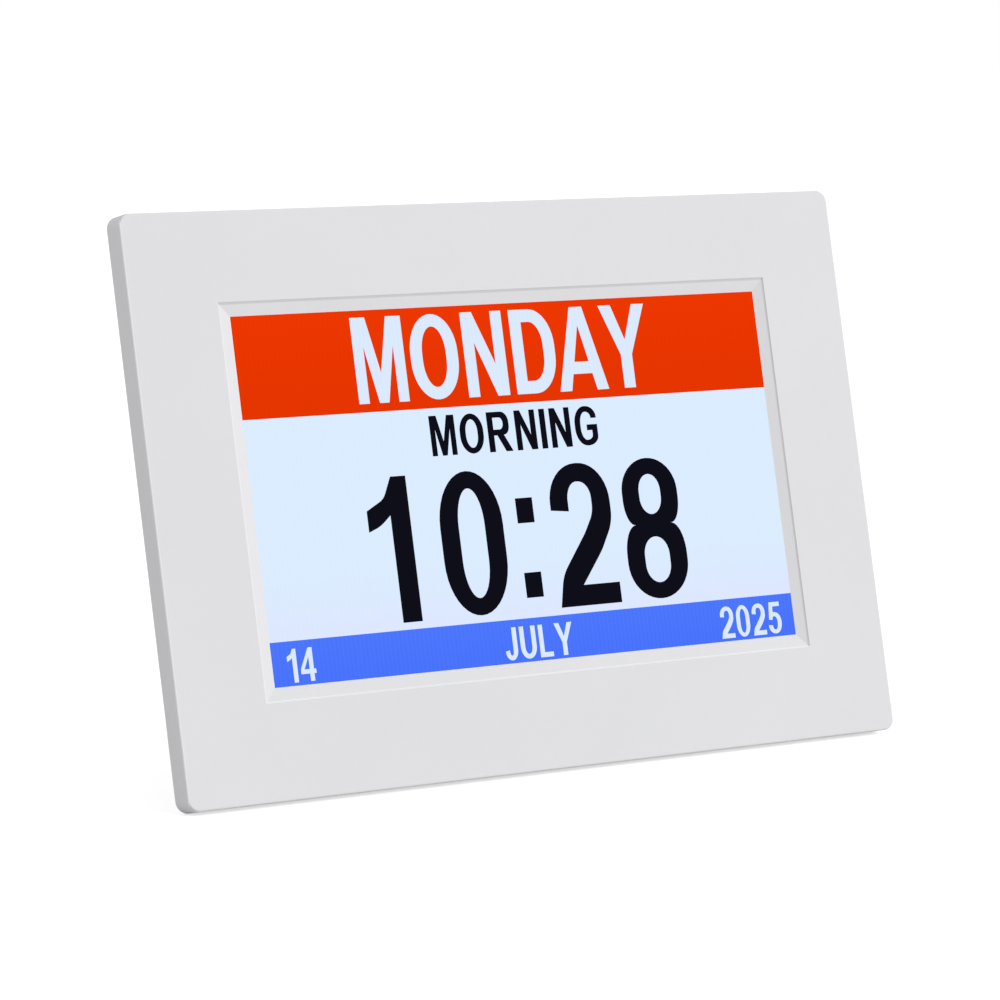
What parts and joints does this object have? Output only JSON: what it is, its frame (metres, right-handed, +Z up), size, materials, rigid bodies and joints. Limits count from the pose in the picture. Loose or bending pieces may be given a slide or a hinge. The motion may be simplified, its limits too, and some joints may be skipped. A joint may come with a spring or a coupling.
{
  "type": "day clock",
  "caption": "Slim framed display clock that shows day, time and date, leaning on a fold-out leg, with rear keys, grille, power inlet and wall keyholes.",
  "frame": {"origin": "on the table under the middle of the clock's width and depth, standing on its open leg", "axes": "+X to the right as the display is read, +Y from the display to the back, +Z up"},
  "size_m": [0.2086, 0.064, 0.1346],
  "materials": {
    "white_abs": "fine-textured injection-moulded ABS, light grey-white",
    "key_abs": "moulded ABS with worn-smooth tops",
    "display_face": "anti-glare polariser film over a lit display",
    "screen_red": "lit picture, red band",
    "screen_pale": "lit picture, pale field",
    "screen_blue": "lit picture, blue band",
    "screen_ink": "dark characters of the lit picture",
    "screen_light": "pale characters of the lit picture",
    "display_glass": "thin clear glass",
    "clear_acrylic": "clear acrylic and film",
    "white_sheet": "white polycarbonate and reflector film",
    "tinned_steel": "thin tinned steel sheet",
    "zinc_screw": "zinc-plated screw steel",
    "pin_steel": "ground steel rod",
    "board_green": "green solder mask on glass-fibre board",
    "chip_epoxy": "moulded black epoxy",
    "cream_nylon": "natural nylon",
    "amber_film": "polyimide film",
    "led_resin": "phosphor resin",
    "can_aluminium": "drawn aluminium can",
    "ferrite": "sintered ferrite",
    "cone_paper": "pressed black paper",
    "foam": "closed-cell foam",
    "foot_rubber": "moulded silicone rubber",
    "lead_pvc": "PVC lead insulation"
  },
  "bodies": {
    "case": {"front_frame": "white_abs", "rear_cover": "white_abs", "case_screws": "zinc_screw", "lcd_bezel": "tinned_steel", "front_polariser": "display_face", "filter_glass": "display_glass", "tft_glass": "display_glass", "rear_polariser": "display_face", "prism_sheet": "clear_acrylic", "diffuser_sheet": "white_sheet", "light_guide": "clear_acrylic", "reflector_sheet": "white_sheet", "backlight_frame": "white_sheet", "led_strip": "amber_film", "backlight_leds": "led_resin", "backlight_leads": "lead_pvc", "lcd_rear_plate": "tinned_steel", "lcd_ribbon": "amber_film", "panel_pads": "foam", "main_board": "board_green", "board_screws": "zinc_screw", "processor_chip": "chip_epoxy", "memory_chip": "chip_epoxy", "clock_crystal": "tinned_steel", "power_coil": "ferrite", "board_capacitors": "can_aluminium", "ribbon_socket": "cream_nylon", "lead_sockets": "cream_nylon", "cell_holder": "chip_epoxy", "coin_cell": "tinned_steel", "dc_jack": "chip_epoxy", "speaker_basket": "tinned_steel", "speaker_cone": "cone_paper", "speaker_magnet": "ferrite", "speaker_gasket": "foam", "speaker_leads": "lead_pvc", "key_board": "board_green", "key_board_screws": "zinc_screw", "switch_housings": "chip_epoxy", "key_leads": "lead_pvc", "hinge_pin": "pin_steel", "hinge_washers": "pin_steel"},
    "leg": {"stand_leg": "white_abs", "leg_foot": "foot_rubber"},
    "menu_key": {"key_menu": "key_abs", "plunger_menu": "chip_epoxy"},
    "left_key": {"key_left": "key_abs", "plunger_left": "chip_epoxy"},
    "right_key": {"key_right": "key_abs", "plunger_right": "chip_epoxy"},
    "up_key": {"key_up": "key_abs", "plunger_up": "chip_epoxy"},
    "down_key": {"key_down": "key_abs", "plunger_down": "chip_epoxy"},
    "ok_key": {"key_ok": "key_abs", "plunger_ok": "chip_epoxy"}
  },
  "joints": [
    {"name": "leg_hinge", "type": "hinge", "parent": "case", "child": "leg", "pos_m": [0, 0.00478, 0.08937], "axis": [1, 0, 0], "range_deg": [-28, 0]},
    {"name": "menu_press", "type": "slide", "parent": "case", "child": "menu_key", "axis": [0, -0.9778, 0.2096], "range_m": [0, 0.0003], "stiffness_N_per_m": 2000},
    {"name": "left_press", "type": "slide", "parent": "case", "child": "left_key", "axis": [0, -0.9778, 0.2096], "range_m": [0, 0.0003], "stiffness_N_per_m": 2000},
    {"name": "right_press", "type": "slide", "parent": "case", "child": "right_key", "axis": [0, -0.9778, 0.2096], "range_m": [0, 0.0003], "stiffness_N_per_m": 2000},
    {"name": "up_press", "type": "slide", "parent": "case", "child": "up_key", "axis": [0, -0.9778, 0.2096], "range_m": [0, 0.0003], "stiffness_N_per_m": 2000},
    {"name": "down_press", "type": "slide", "parent": "case", "child": "down_key", "axis": [0, -0.9778, 0.2096], "range_m": [0, 0.0003], "stiffness_N_per_m": 2000},
    {"name": "ok_press", "type": "slide", "parent": "case", "child": "ok_key", "axis": [0, -0.9778, 0.2096], "range_m": [0, 0.0003], "stiffness_N_per_m": 2000}
  ]
}
